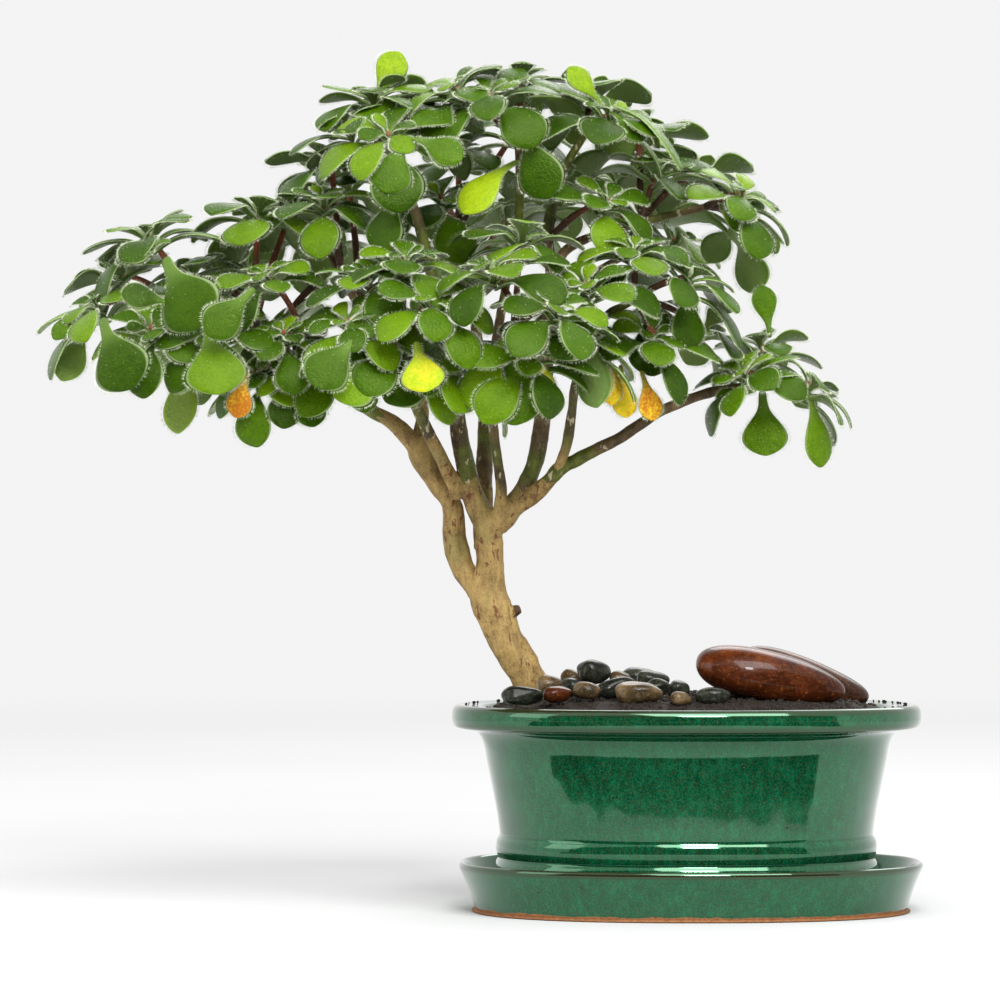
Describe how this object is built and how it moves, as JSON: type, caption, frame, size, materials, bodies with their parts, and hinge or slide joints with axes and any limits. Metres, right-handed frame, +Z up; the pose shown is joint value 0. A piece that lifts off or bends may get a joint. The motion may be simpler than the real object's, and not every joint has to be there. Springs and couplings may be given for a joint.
{
  "type": "bonsai tree in a pot",
  "caption": "Small succulent tree with a leaning trunk and a spreading crown of fuzzy spoon-shaped leaves, planted in an oval glazed pot with a drip saucer and dressed with polished stones.",
  "frame": {"origin": "centre of the saucer's flat underside, on the surface that the saucer stands on", "axes": "+Z up; X along the pot's long side, with the crown's overhang towards -X; the front of the tree faces -Y"},
  "size_m": [0.2947, 0.1867, 0.2898],
  "materials": {
    "pot_glaze": "gloss",
    "saucer_glaze": "gloss",
    "potting_mix": "matte",
    "screen_plastic": "matte",
    "trunk_bark": "matte",
    "limb_bark": "matte",
    "foliage": "satin",
    "red_stone": "polished",
    "brown_stone": "satin",
    "dark_pebble": "polished",
    "tan_pebble": "polished"
  },
  "bodies": {
    "root": {"saucer": "saucer_glaze", "pot": "pot_glaze", "drain_screen_left": "screen_plastic", "drain_screen_right": "screen_plastic", "soil": "potting_mix", "trunk": "trunk_bark", "limb_back": "limb_bark", "limb_back_left": "limb_bark", "limb_back_right": "limb_bark", "limb_centre": "limb_bark", "limb_front_left": "limb_bark", "limb_left": "limb_bark", "limb_right": "limb_bark", "limb_right_front": "limb_bark", "limb_thin": "limb_bark", "limb_upper_left": "limb_bark", "limb_upper_right": "limb_bark", "stone_front": "red_stone", "stone_rear": "brown_stone", "pebble_01": "dark_pebble", "pebble_02": "tan_pebble", "pebble_03": "red_stone", "pebble_04": "tan_pebble", "pebble_05": "dark_pebble", "pebble_06": "dark_pebble", "pebble_07": "tan_pebble", "pebble_08": "dark_pebble", "pebble_09": "tan_pebble", "pebble_10": "tan_pebble", "pebble_11": "dark_pebble", "pebble_12": "dark_pebble", "pebble_13": "dark_pebble", "pebble_14": "dark_pebble", "pebble_15": "tan_pebble", "pebble_16": "dark_pebble", "leafy_branch_01": "foliage", "leafy_branch_02": "foliage", "leafy_branch_03": "foliage", "leafy_branch_04": "foliage", "leafy_branch_05": "foliage", "leafy_branch_06": "foliage", "leafy_branch_07": "foliage", "leafy_branch_08": "foliage", "leafy_branch_09": "foliage", "leafy_branch_10": "foliage", "leafy_branch_11": "foliage", "leafy_branch_12": "foliage", "leafy_branch_13": "foliage", "leafy_branch_14": "foliage", "leafy_branch_15": "foliage", "leafy_branch_16": "foliage", "leafy_branch_17": "foliage", "leafy_branch_18": "foliage", "leafy_branch_19": "foliage", "leafy_branch_20": "foliage", "leafy_branch_21": "foliage", "leafy_branch_22": "foliage", "leafy_branch_23": "foliage", "leafy_branch_24": "foliage", "leafy_branch_25": "foliage"}
  },
  "joints": []
}
